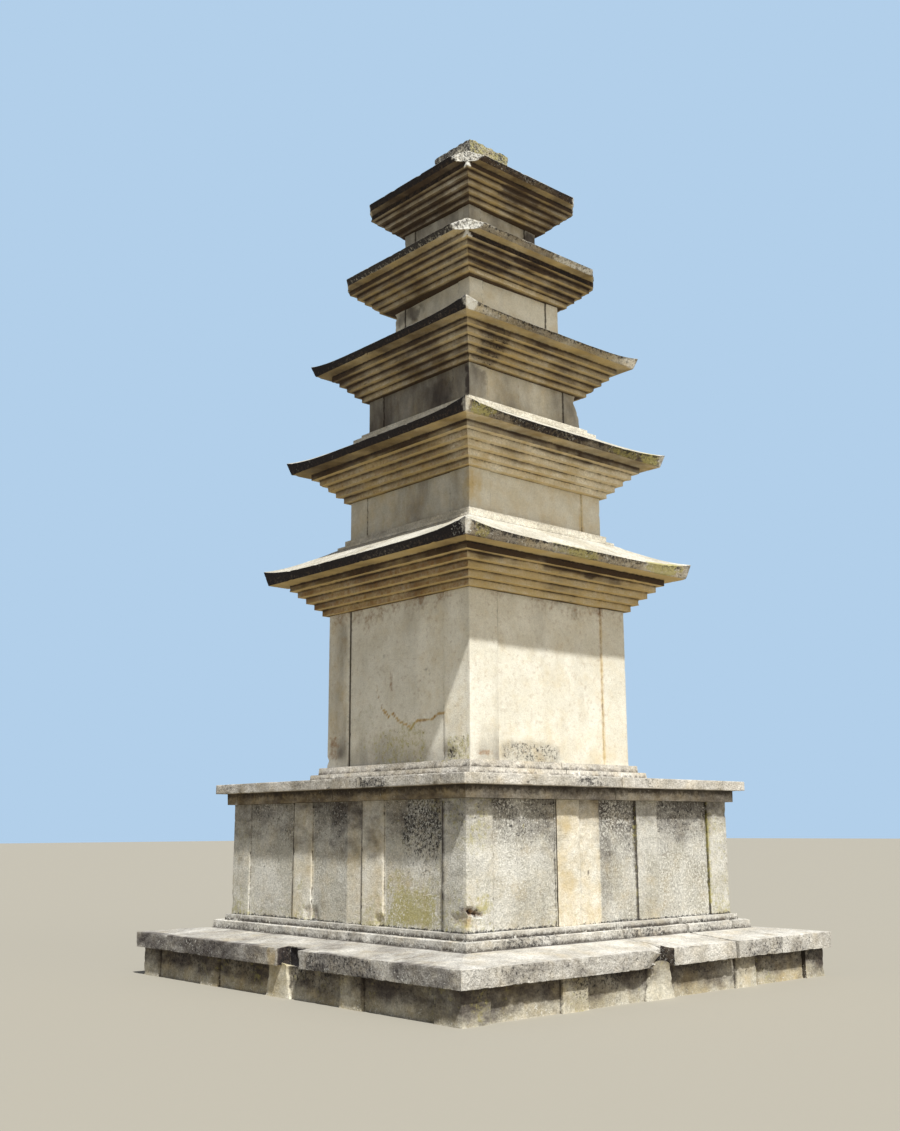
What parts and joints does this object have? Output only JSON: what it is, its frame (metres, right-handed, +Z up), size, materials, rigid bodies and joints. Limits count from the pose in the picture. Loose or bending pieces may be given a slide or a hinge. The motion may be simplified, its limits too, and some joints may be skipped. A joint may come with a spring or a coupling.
{
  "type": "stone pagoda",
  "caption": "Square granite pagoda: plain blocks under stepped roof stones on a raised base of pillared slabs, with the base stone of its lost finial on top.",
  "frame": {"origin": "middle of the foot, at ground level", "axes": "+Z up; -Y is the front, the sunlit side on the right of the picture; -X is the shaded side on its left"},
  "size_m": [5.374, 5.374, 9.76],
  "materials": {
    "low_wall_granite": "dressed granite, dark with damp, grazed by splashed soil",
    "low_cap_granite": "dressed granite, bleached on top, grey and pitted at the edge",
    "high_wall_granite": "dressed granite, cream to grey, with lichen specks",
    "high_cap_granite": "dressed granite, grey, worn at the edges",
    "block_granite": "finely dressed cream granite with ochre stains",
    "roof_granite": "dressed granite, ochre under the eaves and dark with lichen at the edge",
    "finial_granite": "rough pale granite with yellow lichen",
    "rubble_fill": "packed rubble and earth, hidden"
  },
  "bodies": {
    "root": {"low_wall_front": "low_wall_granite", "low_wall_right": "low_wall_granite", "low_wall_back": "low_wall_granite", "low_wall_left": "low_wall_granite", "low_cap_front_1": "low_cap_granite", "low_cap_front_2": "low_cap_granite", "low_cap_front_3": "low_cap_granite", "low_cap_right_1": "low_cap_granite", "low_cap_right_2": "low_cap_granite", "low_cap_back_1": "low_cap_granite", "low_cap_back_2": "low_cap_granite", "low_cap_left_1": "low_cap_granite", "low_cap_left_2": "low_cap_granite", "high_wall_front_1": "high_wall_granite", "high_wall_front_2": "high_wall_granite", "high_wall_front_3": "high_wall_granite", "high_wall_right_1": "high_wall_granite", "high_wall_right_2": "high_wall_granite", "high_wall_right_3": "high_wall_granite", "high_wall_back_1": "high_wall_granite", "high_wall_back_2": "high_wall_granite", "high_wall_back_3": "high_wall_granite", "high_wall_left_1": "high_wall_granite", "high_wall_left_2": "high_wall_granite", "high_wall_left_3": "high_wall_granite", "base_fill": "rubble_fill", "high_cap_front_left": "high_cap_granite", "high_cap_front_right": "high_cap_granite", "high_cap_back_right": "high_cap_granite", "high_cap_back_left": "high_cap_granite", "block_1_front": "block_granite", "block_1_right": "block_granite", "block_1_back": "block_granite", "block_1_left": "block_granite", "block_1_fill": "rubble_fill", "block_2": "block_granite", "block_3": "block_granite", "block_4": "block_granite", "block_5": "block_granite", "roof_1": "roof_granite", "roof_2": "roof_granite", "roof_3": "roof_granite", "roof_4": "roof_granite", "roof_5": "roof_granite", "finial_base": "finial_granite"}
  },
  "joints": []
}
